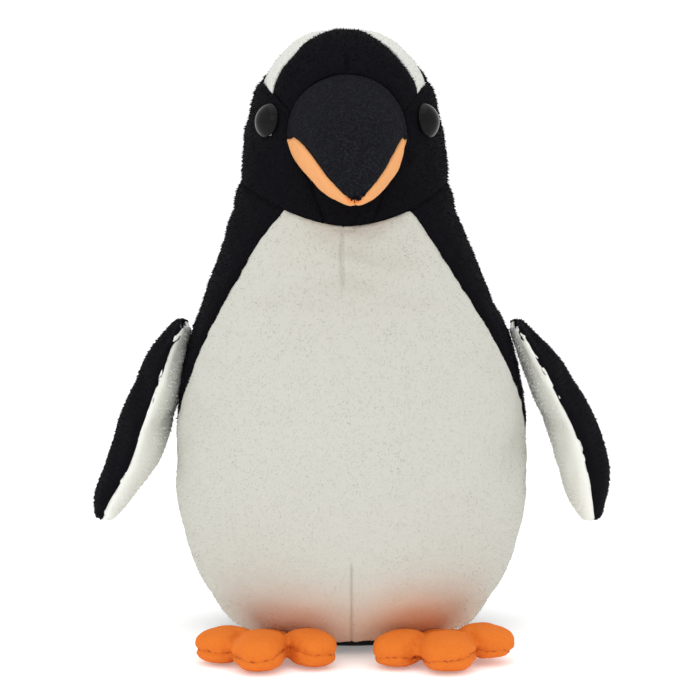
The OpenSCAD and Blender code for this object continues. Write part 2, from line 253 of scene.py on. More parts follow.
def cad_copy(*nodes):
    """The CAD shapes of some nodes, as one form to work on."""
    form = bmesh.new()
    for node in nodes:
        form.from_mesh(frame["nodes"][node].data)
    bmesh.ops.remove_doubles(form, verts=form.verts, dist=1e-6)
    return form


def settle(piece):
    """Makes the piece's modifiers part of its mesh."""
    shown = piece.evaluated_get(bpy.context.evaluated_depsgraph_get())
    mesh = bpy.data.meshes.new_from_object(shown)
    piece.modifiers.clear()
    piece.data = mesh


def reopen(piece):
    """Takes a working piece apart again, back to its form."""
    form = bmesh.new()
    form.from_mesh(piece.data)
    bpy.data.objects.remove(piece)
    return form


def smooth_shaded(piece):
    for polygon in piece.data.polygons:
        polygon.use_smooth = True


def regions(form, joined):
    """The groups of faces that reach one another over joined edges."""
    for face in form.faces:
        face.tag = False
    groups = []
    for first in form.faces:
        if first.tag:
            continue
        first.tag = True
        group = [first]
        for face in group:
            for edge in face.edges:
                if joined(edge):
                    for other in edge.link_faces:
                        if not other.tag:
                            other.tag = True
                            group.append(other)
        groups.append(group)
    return groups


def keep_only(form, group):
    keep = set(group)
    bmesh.ops.delete(form, geom=[f for f in form.faces if f not in keep], context="FACES")


# The point inside the toy that each panel faces away from, and how sharply a panel's faces turn at its rim.
panel_core = {
    name: Vector((0, 0, 0.09))
    for name in ("belly_panel", "back_panel_left", "back_panel_right", "throat_panel", "cheek_left",
                 "cheek_right", "forehead_gusset", "crown_band", "nape_gusset")
}
rim_turn = math.radians(52)


def outer_layer(node):
    """The outside of one CAD panel, as an open sheet of quads."""
    form = cad_copy(node)
    core = panel_core[node]

    def outwards(group):
        return sum(f.calc_area() * f.normal.dot(f.calc_center_median() - core) for f in group)

    keep_only(form, max(regions(form, lambda e: e.calc_face_angle(math.pi) < rim_turn), key=outwards))
    bmesh.ops.join_triangles(
        form, faces=form.faces, angle_face_threshold=math.pi, angle_shape_threshold=math.pi
    )
    return form


def tree_of(points):
    """Finds the nearest of some points."""
    tree = KDTree(len(points))
    for index, point in enumerate(points):
        tree.insert(point, index)
    tree.balance()
    return tree


def edge_points(node):
    """Closely spaced places along the edge of a panel."""
    form = outer_layer(node)
    bmesh.ops.subdivide_edges(form, edges=[e for e in form.edges if e.is_boundary], cuts=3)
    points = [v.co.copy() for v in form.verts if v.is_boundary]
    form.free()
    return points


def seams_of(*nodes):
    """Where the panels' edges are, at which the skin is sewn and can't swell."""
    return tree_of([point for node in nodes for point in edge_points(node)])


def smooth(form, rounds, verts=None):
    """Evens out all of a form, or only some of its points."""
    for _ in range(rounds):
        bmesh.ops.smooth_vert(
            form, verts=form.verts if verts is None else verts, factor=0.5,
            use_axis_x=True, use_axis_y=True, use_axis_z=True,
        )


def stuffed(name, form, voxel, seams, swell, most, floor=None, evening=3):
    """Makes a form one even skin, holds it at its seams and lets the stuffing's pressure swell it.

    No point moves further than most, and what is below floor stays where it is."""
    piece = add_piece(name, form, fibre)
    remesh = piece.modifiers.new("even_mesh", "REMESH")
    remesh.mode = "VOXEL"
    remesh.voxel_size = voxel
    settle(piece)
    form = reopen(piece)
    keep_only(form, max(regions(form, lambda edge: True), key=len))
    smooth(form, evening)
    piece = add_piece(name, form, fibre)
    start = [v.co.copy() for v in piece.data.vertices]
    sewn = piece.vertex_groups.new(name="sewn")
    held = [i for i, co in enumerate(start) if seams.find(co)[2] < voxel * 0.8]
    sewn.add(held, 1.0, "REPLACE")
    if floor is not None:
        sewn.add([i for i, co in enumerate(start) if co.z < floor], 1.0, "REPLACE")
    cloth = piece.modifiers.new("pressure", "CLOTH")
    cloth.settings.vertex_group_mass = "sewn"
    cloth.settings.use_pressure = True
    cloth.settings.uniform_pressure_force = swell
    cloth.settings.shrink_min = -0.02
    cloth.settings.effector_weights.gravity = 0
    for step in range(1, 21):
        bpy.context.scene.frame_set(step)
    settle(piece)
    bpy.context.scene.frame_set(1)
    for vertex, co in zip(piece.data.vertices, start):
        move = vertex.co - co
        if move.length > most:
            vertex.co = co + move.normalized() * most
    smoother = piece.modifiers.new("round", "SUBSURF")
    smoother.levels = smoother.render_levels = 1
    settle(piece)
    return piece


def surface_of(piece):
    return BVHTree.FromObject(piece, bpy.context.evaluated_depsgraph_get())


body_skin = [*panel_core]
body_form = stuffed(
    "body_stuffing", cad_copy(*body_skin, "base_panel", "body_filling", "head_filling", "pellet_bag"),
    voxel=0.004, seams=seams_of(*body_skin), swell=7.0, most=0.004, floor=0.003,
)
body_surface = surface_of(body_form)


def sink_inwards(piece, depth):
    """Turns the swollen skin into the stuffing just under it."""
    form = reopen(piece)
    form.normal_update()
    for vertex, move in [(v, v.normal * depth) for v in form.verts]:
        vertex.co -= move
    return form


def finish_stuffing(name, form, body, *nodes, evening=0, gather=1.0):
    middle = sum((v.co for v in form.verts), Vector()) / len(form.verts)
    for vertex in form.verts:
        vertex.co = middle + (vertex.co - middle) * gather
    smooth(form, evening)
    piece = add_piece(name, form, fibre)
    smooth_shaded(piece)
    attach(piece, body)
    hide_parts(*nodes)


def ease(value):
    """Goes smoothly from 0 to 1 as the value does, and stays there."""
    value = min(1.0, max(0.0, value))
    return value * value * (3 - 2 * value)


bottom_edge = 0.0038
bottom_curve = 0.022


def rise(height):
    """The round edge of the bottom keeps the lowest seam off the floor."""
    return max(height, bottom_edge + height * (1 - bottom_edge / bottom_curve))


beak_height = 0.208
beak_reach = 0.0244


def from_beak(place):
    """How far a place on the face is outside the ring that the beak is sewn to."""
    if place.y > 0:
        return 1.0
    return math.hypot(place.x, place.z - beak_height) - beak_reach


sunk = sink_inwards(body_form, 0.0042)
smooth(sunk, 12, [v for v in sunk.verts if from_beak(v.co) < 0.012])
for vertex in sunk.verts:
    vertex.co.y += 0.006 * (1 - ease(from_beak(vertex.co) / 0.010))
    vertex.co.z = rise(rise(vertex.co.z))
finish_stuffing("body_stuffing", sunk, "torso", "body_filling", "head_filling")

# ---- Plush panels of the body and head ----
# Short-pile polyester plush: white for the belly and the band over the crown, black for the rest. The panels
# are cut flat, sewn edge to edge inside out, then turned, so each seam is a soft valley with hidden stitches.


def even_sheet(node, spacing, surface, reach, hold=None):
    """The panel's outside, divided finely and laid on the swollen form, except where hold keeps it."""
    form = outer_layer(node)
    lengths = [e.calc_length() for e in form.edges]
    mean = sum(lengths) / len(lengths)
    piece = add_piece("pattern", form, fibre)
    smoother = piece.modifiers.new("round", "SUBSURF")
    smoother.levels = smoother.render_levels = max(1, round(math.log2(mean / spacing)))
    smoother.boundary_smooth = "PRESERVE_CORNERS"
    settle(piece)
    form = reopen(piece)
    for vertex in form.verts:
        place, _, _, away = surface.find_nearest(vertex.co)
        share = min(1.0, reach / max(away, 1e-6)) * (hold(vertex.co) if hold else 1.0)
        vertex.co = vertex.co.lerp(place, share)
    smooth(form, 2, [v for v in form.verts if not v.is_boundary])
    form.normal_update()
    return form


def join_edges(sheets, reach):
    """Brings the edges of neighbouring panels together, half way each."""
    edges = {node: [v for v in form.verts if v.is_boundary] for node, form in sheets.items()}
    places = {node: [v.co.copy() for v in verts] for node, verts in edges.items()}
    for node, verts in edges.items():
        others = tree_of([co for other, cos in places.items() if other != node for co in cos])
        for vertex in verts:
            place, _, away = others.find(vertex.co)
            if away < reach:
                vertex.co += (place - vertex.co) * 0.5
        sheets[node].normal_update()


def sew(form, valley, depth, lumps, pucker, seed, taut=0.0):
    """Sinks the sheet along its seams, puckers it beside them, and lets the stuffing show as low lumps.

    Taut is how much of the seams' depth is lost on the head, which is packed harder."""
    seams = tree_of([v.co.copy() for v in form.verts if v.is_boundary])
    shift = Vector((seed, seed * 0.7, -seed))
    moves = []
    for vertex in form.verts:
        away = seams.find(vertex.co)[2]
        fold = 1 - ease(away / valley)
        near = 1 - ease(away / (valley * 2.6))
        proud = lumps * noise.noise(vertex.co * 45 + shift)
        proud += 0.3 * lumps * noise.noise(vertex.co * 140 + shift)
        proud += pucker * near * noise.noise(vertex.co * 230 + shift)
        tight = 1 - taut * ease((vertex.co.z - 0.15) / 0.02)
        moves.append(vertex.normal * (proud - depth * tight * fold))
    for vertex, move in zip(form.verts, moves):
        vertex.co += move
    form.normal_update()


def crease(form, x, low, high, width, depth):
    """Draws in a short dart along an upright line on the front."""
    near = []
    for edge in form.edges:
        place = edge.verts[0].co
        if abs(place.x - x) < 4 * width and low - width < place.z < high + width and place.y < 0:
            near.append(edge)
    bmesh.ops.subdivide_edges(form, edges=near, cuts=1, use_grid_fill=True)
    form.normal_update()
    moves = []
    for vertex in form.verts:
        if vertex.co.y < 0 and low < vertex.co.z < high:
            off = (vertex.co.x - x) / width
            ends = ease((vertex.co.z - low) / 0.006) * ease((high - vertex.co.z) / 0.006)
            moves.append((vertex, vertex.normal * depth * math.exp(-off * off) * max(ends, 0)))
    for vertex, move in moves:
        vertex.co -= move
    form.normal_update()


def pile(name, sheet, finish, spacing, length, nap, seed, share=None, thick=0.00028):
    """The cloth's pile: small pointed tufts over a sheet, leaning with the nap, each closed at its foot."""
    lean = 0.9
    form = sheet.copy()
    bmesh.ops.triangulate(form, faces=form.faces)
    draw = random.Random(seed)
    area = sum(f.calc_area() for f in form.faces)
    chance = area / (spacing * spacing) / len(form.faces)
    dropped = []
    for face in form.faces:
        here = chance * face.calc_area() * len(form.faces) / area
        if share:
            here *= share(face.calc_center_median())
        if draw.random() > here:
            dropped.append(face)
    bmesh.ops.delete(form, geom=dropped, context="FACES")
    bmesh.ops.split_edges(form, edges=form.edges)
    feet = []
    for face in form.faces:
        middle = face.calc_center_median()
        normal = face.normal.copy()
        side = normal.orthogonal().normalized()
        cross = normal.cross(side)
        turn = draw.uniform(0, 2)
        push = spacing * 0.35
        root = middle + side * draw.uniform(-push, push) + cross * draw.uniform(-push, push)
        root -= normal * thick
        for corner, vertex in enumerate(face.verts):
            angle = turn + corner * math.tau / 3
            vertex.co = root + (side * math.cos(angle) + cross * math.sin(angle)) * thick
        along = nap + Vector([draw.uniform(-0.6, 0.6) for _ in range(3)])
        along -= normal * along.dot(normal)
        tip = normal + along.normalized() * lean * draw.uniform(0.5, 1.4)
        feet.append(tip.normalized() * length * draw.uniform(0.6, 1.15))
    tips = bmesh.ops.poke(form, faces=form.faces)["verts"]
    for vertex, tip in zip(tips, feet):
        vertex.co += tip
    bmesh.ops.holes_fill(form, edges=form.edges, sides=3)
    return add_piece(name, form, finish)


def shell(name, form, finish, thickness):
    """A sheet of cloth with its thickness, smooth-shaded."""
    piece = add_piece(name, form, finish)
    cloth = piece.modifiers.new("cloth", "SOLIDIFY")
    cloth.thickness = thickness
    cloth.offset = -1
    settle(piece)
    smooth_shaded(piece)
    return piece


def plush(name, colour, shade, hair):
    """Ground cloth of a plush, and the hair that stands on it."""
    ground = Finish(name, 0.95, Specular_IOR_Level=0.05)
    spots = ground.grain(0.0011, 3, 0.6)
    clouds = ground.grain(0.022, 2)
    ground.set("Base Color", ground.blend(spots * 0.75 + clouds * 0.25, shade, colour))
    ground.relief(spots + ground.grain(0.0004, 1) * 0.5, 0.0004, 0.5)
    tufts = Finish(name + "_hair", 0.9, Specular_IOR_Level=0.05)
    tufts.set("Base Color", hair)
    return ground, tufts


black_plush, black_hair = plush(
    "black_plush", colour=(0.006, 0.006, 0.008), shade=(0.003, 0.003, 0.004), hair=(0.0055, 0.0055, 0.0072)
)
# Painted light: the flippers' white plush is painted brighter than the crown band's white, to lift the shade
# the body casts on their inner faces.
flipper_plush, brightened_flipper_hair = plush(
    "flipper_plush", colour=(0.80, 0.81, 0.76), shade=(0.72, 0.73, 0.68), hair=(0.80, 0.81, 0.76)
)
white_plush, white_hair = plush(
    "white_plush", colour=(0.62, 0.63, 0.59), shade=(0.55, 0.56, 0.52), hair=(0.62, 0.63, 0.59)
)
cream_plush, cream_hair = plush(
    "cream_plush", colour=(0.540, 0.537, 0.486), shade=(0.50, 0.50, 0.45), hair=(0.535, 0.532, 0.480)
)

# Painted reflection of the orange feet on the lower belly, in two soft patches above them: how far across,
# how tall, how strong.
feet_bounce_colour = (0.66, 0.26, 0.09)
feet_bounce_height = 0.008
feet_bounce_width = 0.021
feet_bounce_patches = ((-0.020, 0.016, 0.6), (0.026, 0.017, 0.85))


def painted_bounce(place):
    """How strongly the painted orange reflection of the feet lies on a place on the belly, for the pile."""
    total = 0
    for across, tall, strength in feet_bounce_patches:
        off = ((place.x - across) / feet_bounce_width) ** 2
        total += math.exp(-off - ((place.z - feet_bounce_height) / tall) ** 2) * strength
    return min(1.0, total) * (place.y < 0)


def plain_share(place):
    return max(0.0, 1 - 2 * painted_bounce(place))


def faint_bounce_share(place):
    return max(0.0, 1 - abs(2 * painted_bounce(place) - 1))


def strong_bounce_share(place):
    return max(0.0, 2 * painted_bounce(place) - 1)


# Tufts coloured with the painted orange reflection of the feet, faint and strong.
faint_bounce_hair = Finish("faint_painted_bounce_hair", 0.9, Specular_IOR_Level=0.05)
faint_bounce_hair.set("Base Color", (0.60, 0.38, 0.25))
bounce_hair = Finish("painted_bounce_hair", 0.9, Specular_IOR_Level=0.05)
bounce_hair.set("Base Color", feet_bounce_colour)
# The belly's ground cloth gets the same painted orange reflection of the feet, on the front only.
x, y, z = cream_plush.axes()
front = y.above(0.0, -0.01)
bounce_amount = 0
for across, tall, strength in feet_bounce_patches:
    aside = (x - across) / feet_bounce_width
    up = (z - feet_bounce_height) / tall
    bounce_amount = bounce_amount + (-(aside * aside) - up * up).exp() * strength
cream_ground = Wire(cream_plush, cream_plush.surface.inputs["Base Color"].links[0].from_socket)
with_bounce = cream_plush.blend(bounce_amount * front, cream_ground, feet_bounce_colour)
# Painted shade: a thin dark line is painted down the middle of the lower front, in the valley of the lower
# dart.
painted_dart_shade = (-(x / 0.0005) * (x / 0.0005)).exp() * z.above(0.044, 0.036) * front
cream_plush.set("Base Color", cream_plush.blend(painted_dart_shade * 0.3, with_bounce, (0.20, 0.17, 0.12)))
down = Vector((0, 0, -1))


def off_ring(place):
    """Grows from 0 at the ring round the beak to 1 a little away from it."""
    return ease(from_beak(place) / 0.012)


sheets = {node: even_sheet(node, 0.0013, body_surface, 0.004, off_ring) for node in body_skin}
join_edges(sheets, 0.0022)
for form in sheets.values():
    for vertex in form.verts:
        place = vertex.co
        if place.y < 0.03 and place.z > 0.2:
            # the band's rear seam runs lower on both sides of the crown
            drop = 0.0075 * math.exp(-(((place.z - 0.235) / 0.008) ** 2))
            drop *= ease((abs(place.x) - 0.018) / 0.01)
            where = body_surface.find_nearest(place + Vector((0, drop * 0.5, -drop)))[0]
            vertex.co = place.lerp(where, min(1.0, drop / 0.002))
        vertex.co.z = rise(vertex.co.z)
    form.normal_update()
body_cloth = {
    "belly_panel": (cream_plush, cream_hair, "cream_plush"),
    "crown_band": (white_plush, white_hair, "white_plush"),
}
for number, (node, form) in enumerate(sheets.items()):
    ground, hair, slot = body_cloth.get(node, (black_plush, black_hair, "black_plush"))
    sew(form, valley=0.0032, depth=0.0014, lumps=0.0007, pucker=0.0005, seed=number * 3.1, taut=0.5)
    share = None
    if node == "belly_panel":
        crease(form, x=-0.0016, low=0.144, high=0.174, width=0.0009, depth=0.0010)
        crease(form, x=0.0, low=0.002, high=0.043, width=0.0007, depth=0.0007)
        for name, colour, part, seed in (
            ("belly_pile_faint_bounce", faint_bounce_hair, faint_bounce_share, 16),
            ("belly_pile_painted_bounce", bounce_hair, strong_bounce_share, 18),
        ):
            bounce_tufts = pile(name, form, colour, 0.0013, 0.0010, down, seed, part, thick=0.00036)
            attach(bounce_tufts, "torso")
        share = plain_share
    if node == "forehead_gusset":
        crease(form, x=0.0004, low=0.228, high=0.241, width=0.0011, depth=0.0016)
    length, thick = (0.0015, 0.00028) if ground is black_plush else (0.0010, 0.00036)
    name = node.replace("_panel", "") + "_pile"
    tufts = pile(name, form, hair, 0.0013, length, down, 40 + number, share, thick)
    cloth = shell(node + "_plush", form, ground, 0.0012)
    for piece in (tufts, cloth):
        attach(piece, "torso")
    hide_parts(node)

# ---- Base cloth and weighted bag ----
# A disc of woven black cotton closes the bottom, its rim turned up to the seam round the body. On it lies a
# thin cotton bag of plastic pellets, narrower at its foot, which makes the toy sit upright.
thread_pitch = 0.0009
woven = Finish("base_cloth", 0.9, Specular_IOR_Level=0.1)
x, y, z = woven.axes()
weave = (x * (math.tau / thread_pitch)).sine() * (y * (math.tau / thread_pitch)).sine()
woven.set("Base Color", woven.blend(weave * 0.5 + 0.5, (0.006, 0.006, 0.008), (0.012, 0.012, 0.014)))
woven.relief(weave, 0.0002)


def round_rims(form, sharp, offset):
    """Bevels the edges where a form turns by more than sharp degrees."""
    rims = [e for e in form.edges if e.calc_face_angle(0) > math.radians(sharp)]
    bmesh.ops.bevel(form, geom=rims, offset=offset, affect="EDGES", segments=2, profile=0.5, material=-1)


form = cad_copy("base_panel")
for way in (1, -1):
    flat = bmesh.ops.dissolve_faces(form, faces=[f for f in form.faces if f.normal.z * way > 0.9])["region"]
    for step in (0.0012, 0.0025, 0.0035, 0.006):
        bmesh.ops.inset_region(form, faces=flat, thickness=step)
low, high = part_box("base_panel")
half = (high - low) / 2
for vertex in form.verts:
    edge = math.hypot(vertex.co.x / half.x, (vertex.co.y - low.y - half.y) / half.y)
    vertex.co.x *= 1.025
    vertex.co.y *= 1.025
    vertex.co.z += 0.0066 * ease((edge - 0.72) / 0.26)
round_rims(form, 60, 0.0005)
base = add_piece("base_cloth", form, woven)
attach(base, "torso")
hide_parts("base_panel")

cotton = Finish("bag_cotton", 0.9, Specular_IOR_Level=0.1)
cotton.set("Base Color", cotton.blend(cotton.grain(0.0008, 2), (0.60, 0.60, 0.57), (0.48, 0.48, 0.45)))
cotton.relief(cotton.grain(0.0006, 1), 0.0002)
beads = Finish("pellets", 0.4)
beads.set("Base Color", beads.blend(beads.grain(0.004), (0.75, 0.75, 0.76), (0.62, 0.62, 0.64)))
for name, node, finish, slot in (
    ("pellet_bag_cotton", "pellet_bag", cotton, "bag_cloth"),
    ("pellet_filling", "pellets", beads, "pellets"),
):
    form = cad_copy(node)
    round_rims(form, 40, 0.0003)
    for vertex in form.verts:
        inner = 1 - 0.12 * (1 - ease(vertex.co.z / bottom_curve))
        vertex.co.x *= inner
        vertex.co.y *= inner
        vertex.co.z = rise(vertex.co.z)
    bag = add_piece(name, form, finish)
    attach(bag, "torso")
    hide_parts(node)

# ---- Beak ----
# Thin fleece over stuffing: a black upper piece, and two orange sides that meet under the tip.
# It is sewn to the face as a closed ring, where its edge turns in behind the cheeks and brow.
beak_nodes = ("beak_top", "beak_side_left", "beak_side_right")
for node in beak_nodes:
    panel_core[node] = Vector((0, -0.055, 0.2))
beak_form = stuffed(
    "beak_stuffing", cad_copy(*beak_nodes, "beak_filling"),
    voxel=0.0024, seams=seams_of(*beak_nodes), swell=7.0, most=0.002,
)
beak_surface = surface_of(beak_form)
sunk = sink_inwards(beak_form, 0.0036)
smooth(sunk, 15)
for vertex in sunk.verts:
    shrink = 1 - 0.2 * (1 - ease((-0.040 - vertex.co.y) / 0.02))
    vertex.co.x *= shrink
    vertex.co.z = beak_height + (vertex.co.z - beak_height) * shrink
finish_stuffing("beak_stuffing", sunk, "torso", "beak_filling")

black_fleece = Finish("black_fleece", 0.95, Specular_IOR_Level=0.05)
fibres = black_fleece.grain(0.0009, 4, 0.7)
black_fleece.set(
    "Base Color",
    black_fleece.blend(fibres.above(0.42, 0.72), (0.0065, 0.0065, 0.0085), (0.019, 0.020, 0.025)),
)
black_fleece.relief(fibres, 0.0005)
beak_fleece = Finish("beak_fleece", 0.8, Specular_IOR_Level=0.1)
x, y, z = beak_fleece.axes()
fibres = beak_fleece.grain(0.0009, 3, 0.6)
side_colour = beak_fleece.blend(fibres, (0.68, 0.31, 0.115), (0.76, 0.36, 0.150))
# Painted shade: the orange sides are painted a deeper red towards the tip.
tip = y.above(-0.0745, -0.0775)
beak_fleece.set("Base Color", beak_fleece.blend(tip, side_colour, (0.78, 0.17, 0.02)))
beak_fleece.relief(fibres, 0.0002)

face_edges = []
for node in ("throat_panel", "cheek_left", "cheek_right", "forehead_gusset"):
    face_edges += edge_points(node)
ring = tree_of([point for point in face_edges if abs(from_beak(point)) < 0.0018])


def off_root(place):
    """Grows from 0 where the beak is sewn on to 1 a little in front of it."""
    return ease(ring.find(place)[2] / 0.010)


sheets = {node: even_sheet(node, 0.0011, beak_surface, 0.003, off_root) for node in beak_nodes}
join_edges(sheets, 0.0022)
for form in sheets.values():
    root = []
    for edge in form.edges:
        start, end = edge.verts
        if edge.is_boundary and ring.find((start.co + end.co) / 2)[2] < 0.003:
            root.append(edge)
    turned = bmesh.ops.extrude_edge_only(form, edges=root)["geom"]
    for vertex in turned:
        if isinstance(vertex, bmesh.types.BMVert):
            vertex.co.y += 0.005
            vertex.co.x *= 0.95
            vertex.co.z = beak_height + (vertex.co.z - beak_height) * 0.95
    form.normal_update()
edges = [v.co for form in sheets.values() for v in form.verts if v.is_boundary]
foremost = min(place.y for place in edges)
tips = [place for place in edges if place.y < foremost + 0.0012]
point = sum(tips, Vector()) / len(tips)
for form in sheets.values():
    gathered = [v for v in form.verts if v.is_boundary and (v.co - point).length < 0.004]
    for vertex in gathered:
        vertex.co = point + (vertex.co - point) * 0.1
    bmesh.ops.remove_doubles(form, verts=gathered, dist=0.0004)
for number, (node, form) in enumerate(sheets.items()):
    black = node == "beak_top"
    sew(form, valley=0.0018, depth=0.0007, lumps=0.0004, pucker=0.0003, seed=50 + number)
    if black:
        fuzz = pile("beak_pile", form, black_hair, 0.0016, 0.0007, Vector((0, -1, -0.5)), 90, thick=0.00018)
        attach(fuzz, "torso")
    cloth = shell(node + "_fleece", form, black_fleece if black else beak_fleece, 0.001)
    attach(cloth, "torso")
    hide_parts(node)

# ---- Eyes ----
# Black plastic safety eyes: a polished dome whose stem goes through the cheek into a washer locked behind it.
# Round most of the dome runs a fine raised lip, left by the mould, which catches the light.
gloss = Finish("eye_plastic", 0.03, IOR=1.17)
gloss.set("Base Color", gloss.blend(gloss.grain(0.003), (0.006, 0.006, 0.006), (0.008, 0.008, 0.008)))
shine = Finish("eye_rim", 0.08, IOR=3.2)
shine.set("Base Color", shine.blend(shine.grain(0.003), (0.02, 0.02, 0.02), (0.03, 0.03, 0.03)))
lock = Finish("washer_plastic", 0.45)
lock.set("Base Color", lock.blend(lock.grain(0.004), (0.70, 0.70, 0.68), (0.62, 0.62, 0.60)))
for side, sign in (("left", 1), ("right", -1)):
    form = cad_copy("eye_" + side)
    planes = {}
    for face in form.faces:
        planes.setdefault(tuple(round(c, 2) for c in face.normal), []).append(face)
    back = max(planes.values(), key=lambda faces: sum(f.calc_area() for f in faces))
    axis = -back[0].normal
    corners = {v for f in back for v in f.verts}
    centre = sum((v.co for v in corners), Vector()) / len(corners)
    out = (Vector((sign, 0, 0)) - axis * axis.x * sign).normalized()
    lip = bmesh.new()
    section = bmesh.ops.create_circle(lip, segments=10, radius=0.00045)["verts"]
    begin = Matrix.Rotation(math.radians(-108), 3, axis) @ out
    frame_of_section = Matrix((begin, axis, begin.cross(axis))).transposed().to_4x4()
    place = Matrix.Translation(centre + axis * 0.0014 + begin * 0.0062)
    bmesh.ops.transform(lip, matrix=place @ frame_of_section, verts=section)
    bmesh.ops.spin(
        lip, geom=[*lip.verts, *lip.edges], cent=centre, axis=axis, angle=math.radians(216), steps=48,
        use_merge=False,
    )
    bmesh.ops.holes_fill(lip, edges=lip.edges, sides=10)
    bmesh.ops.recalc_face_normals(lip, faces=lip.faces)
    edging = add_piece("eye_rim_" + side, lip, shine)
    smooth_shaded(edging)
    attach(edging, "torso")
    round_rims(form, 50, 0.00015)
    dome = add_piece("eye_dome_" + side, form, gloss)
    smooth_shaded(dome)
    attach(dome, "torso")
    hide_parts("eye_" + side)
    form = cad_copy("eye_washer_" + side)
    round_rims(form, 50, 0.0002)
    washer = add_piece("eye_lock_" + side, form, lock)
    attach(washer, "torso")
    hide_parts("eye_washer_" + side)

# ---- Flippers ----
# Two plush faces, black outside and white inside, sewn round their edge and lightly stuffed. Each is sewn
# to the body by its narrow root only, so it hangs there.
for side, sign in (("left", 1), ("right", -1)):
    faces = ("flipper_outer_" + side, "flipper_inner_" + side)
    for node in faces:
        panel_core[node] = Vector((sign * 0.088, 0.002, 0.09))
    name = "flipper_stuffing_" + side
    filling = "flipper_filling_" + side
    flipper_form = stuffed(
        name, cad_copy(*faces, filling), voxel=0.0026, seams=seams_of(*faces), swell=5.0, most=0.0025
    )
    surface = surface_of(flipper_form)
    body = "flipper_" + side
    finish_stuffing(name, sink_inwards(flipper_form, 0.003), body, filling, evening=25, gather=0.90)
    sheets = {node: even_sheet(node, 0.0013, surface, 0.003) for node in faces}
    join_edges(sheets, 0.0024)
    nap = Vector((sign * 0.35, 0, -1))
    for number, (node, form) in enumerate(sheets.items()):
        black = "outer" in node
        sew(form, valley=0.0026, depth=0.0009, lumps=0.0008, pucker=0.0006, seed=30 + number + sign)
        ground, hair = (black_plush, black_hair) if black else (flipper_plush, brightened_flipper_hair)
        seam = tree_of([v.co.copy() for v in form.verts if v.is_boundary])

        def off_seam(place):
            return ease(seam.find(place)[2] / 0.004 - 0.4)

        share = None if black else off_seam
        tufts = pile(node + "_pile", form, hair, 0.0013, 0.0014, nap, 20 + number + sign, share)
        cloth = shell(node + "_plush", form, ground, 0.0012)
        for piece in (tufts, cloth):
            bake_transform(piece)
        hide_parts(node)

# ---- Feet ----
# Orange fleece, cut as an upper and a sole with three fat toes, sewn round with the seam showing and stuffed.
# A few tight stitches pinch the fleece in between the toes. The ankle end is sewn under the belly.
orange_fleece = Finish("orange_fleece", 0.85, Specular_IOR_Level=0.1)
fibres = orange_fleece.grain(0.0009, 3, 0.6)
clouds = orange_fleece.grain(0.009, 2)
orange_fleece.set(
    "Base Color",
    orange_fleece.blend(fibres * 0.6 + clouds * 0.4, (0.60, 0.125, 0.009), (0.76, 0.21, 0.034)),
)
orange_fleece.relief(fibres, 0.0003)
thread = Finish("orange_thread", 0.7)
thread.set("Base Color", thread.blend(thread.grain(0.0006), (0.34, 0.060, 0.006), (0.44, 0.085, 0.010)))
foot_out = 0.0345
foot_ahead = -0.0560
seam_height = 0.0068
pinches = (-0.0084, 0.0114)


def wobble(place):
    """How far the foot's seam strays up or down: it lifts or drops most at the pinches between the toes."""
    low = 0.0018 * noise.noise(Vector((place.x * 60, place.y * 60, 3.3))) - 0.0016
    lifts = (-0.0010, 0.0022) if place.x > 0 else (0.0034, 0.0012)
    for out, lift in zip(pinches, lifts):
        off = (abs(place.x) - foot_out - out) / 0.0055
        low += lift * math.exp(-off * off)
    return low + 0.0008 * noise.noise(Vector((place.x * 210, place.y * 210, 1.7)))


